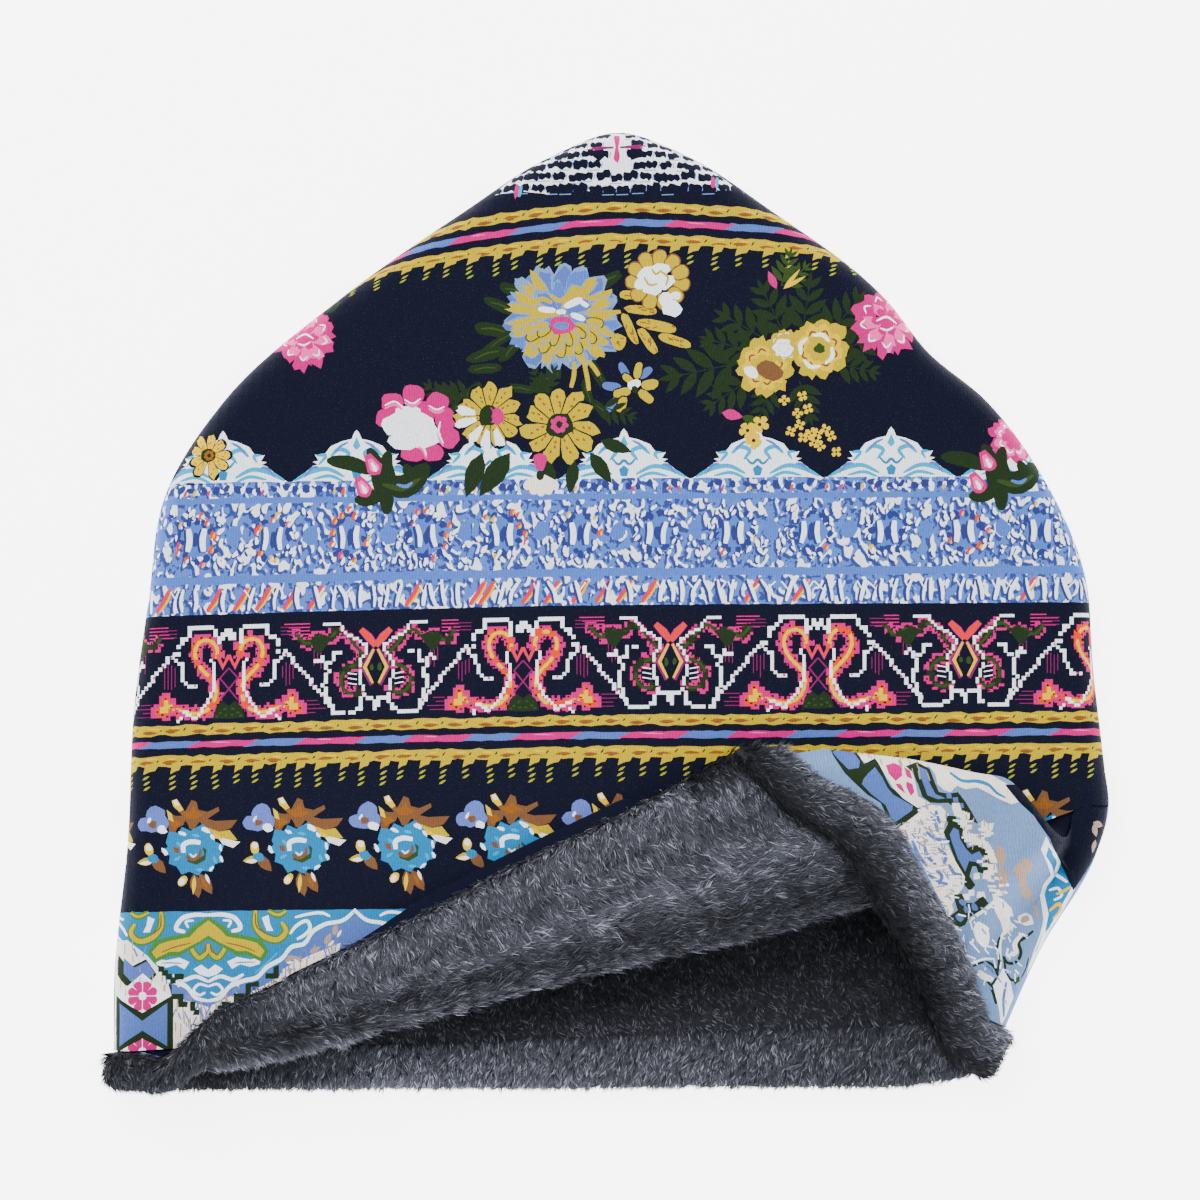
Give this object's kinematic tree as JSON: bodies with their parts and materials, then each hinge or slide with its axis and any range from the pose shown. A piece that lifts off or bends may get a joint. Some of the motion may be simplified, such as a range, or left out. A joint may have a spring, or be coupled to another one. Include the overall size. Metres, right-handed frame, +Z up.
{
  "type": "fleece lined beanie",
  "caption": "Soft bag-shaped winter beanie of printed jersey with a grey plush lining and rolled plush hem, lying flat with its front hem folded back.",
  "frame": {"origin": "on the ground, under the middle of the flat hat", "axes": "+Z up off the ground, +Y from the hem to the crown's tip, +X to the right in the pictured view"},
  "size_m": [0.2792, 0.2655, 0.0425],
  "materials": {
    "printed_jersey": "fine knitted jersey with a printed pattern of bands and flowers",
    "plush_fleece": "short shaggy plush"
  },
  "bodies": {
    "root": {"printed_shell": "printed_jersey", "fleece_lining": "plush_fleece", "plush_hem_roll": "plush_fleece"}
  },
  "joints": []
}
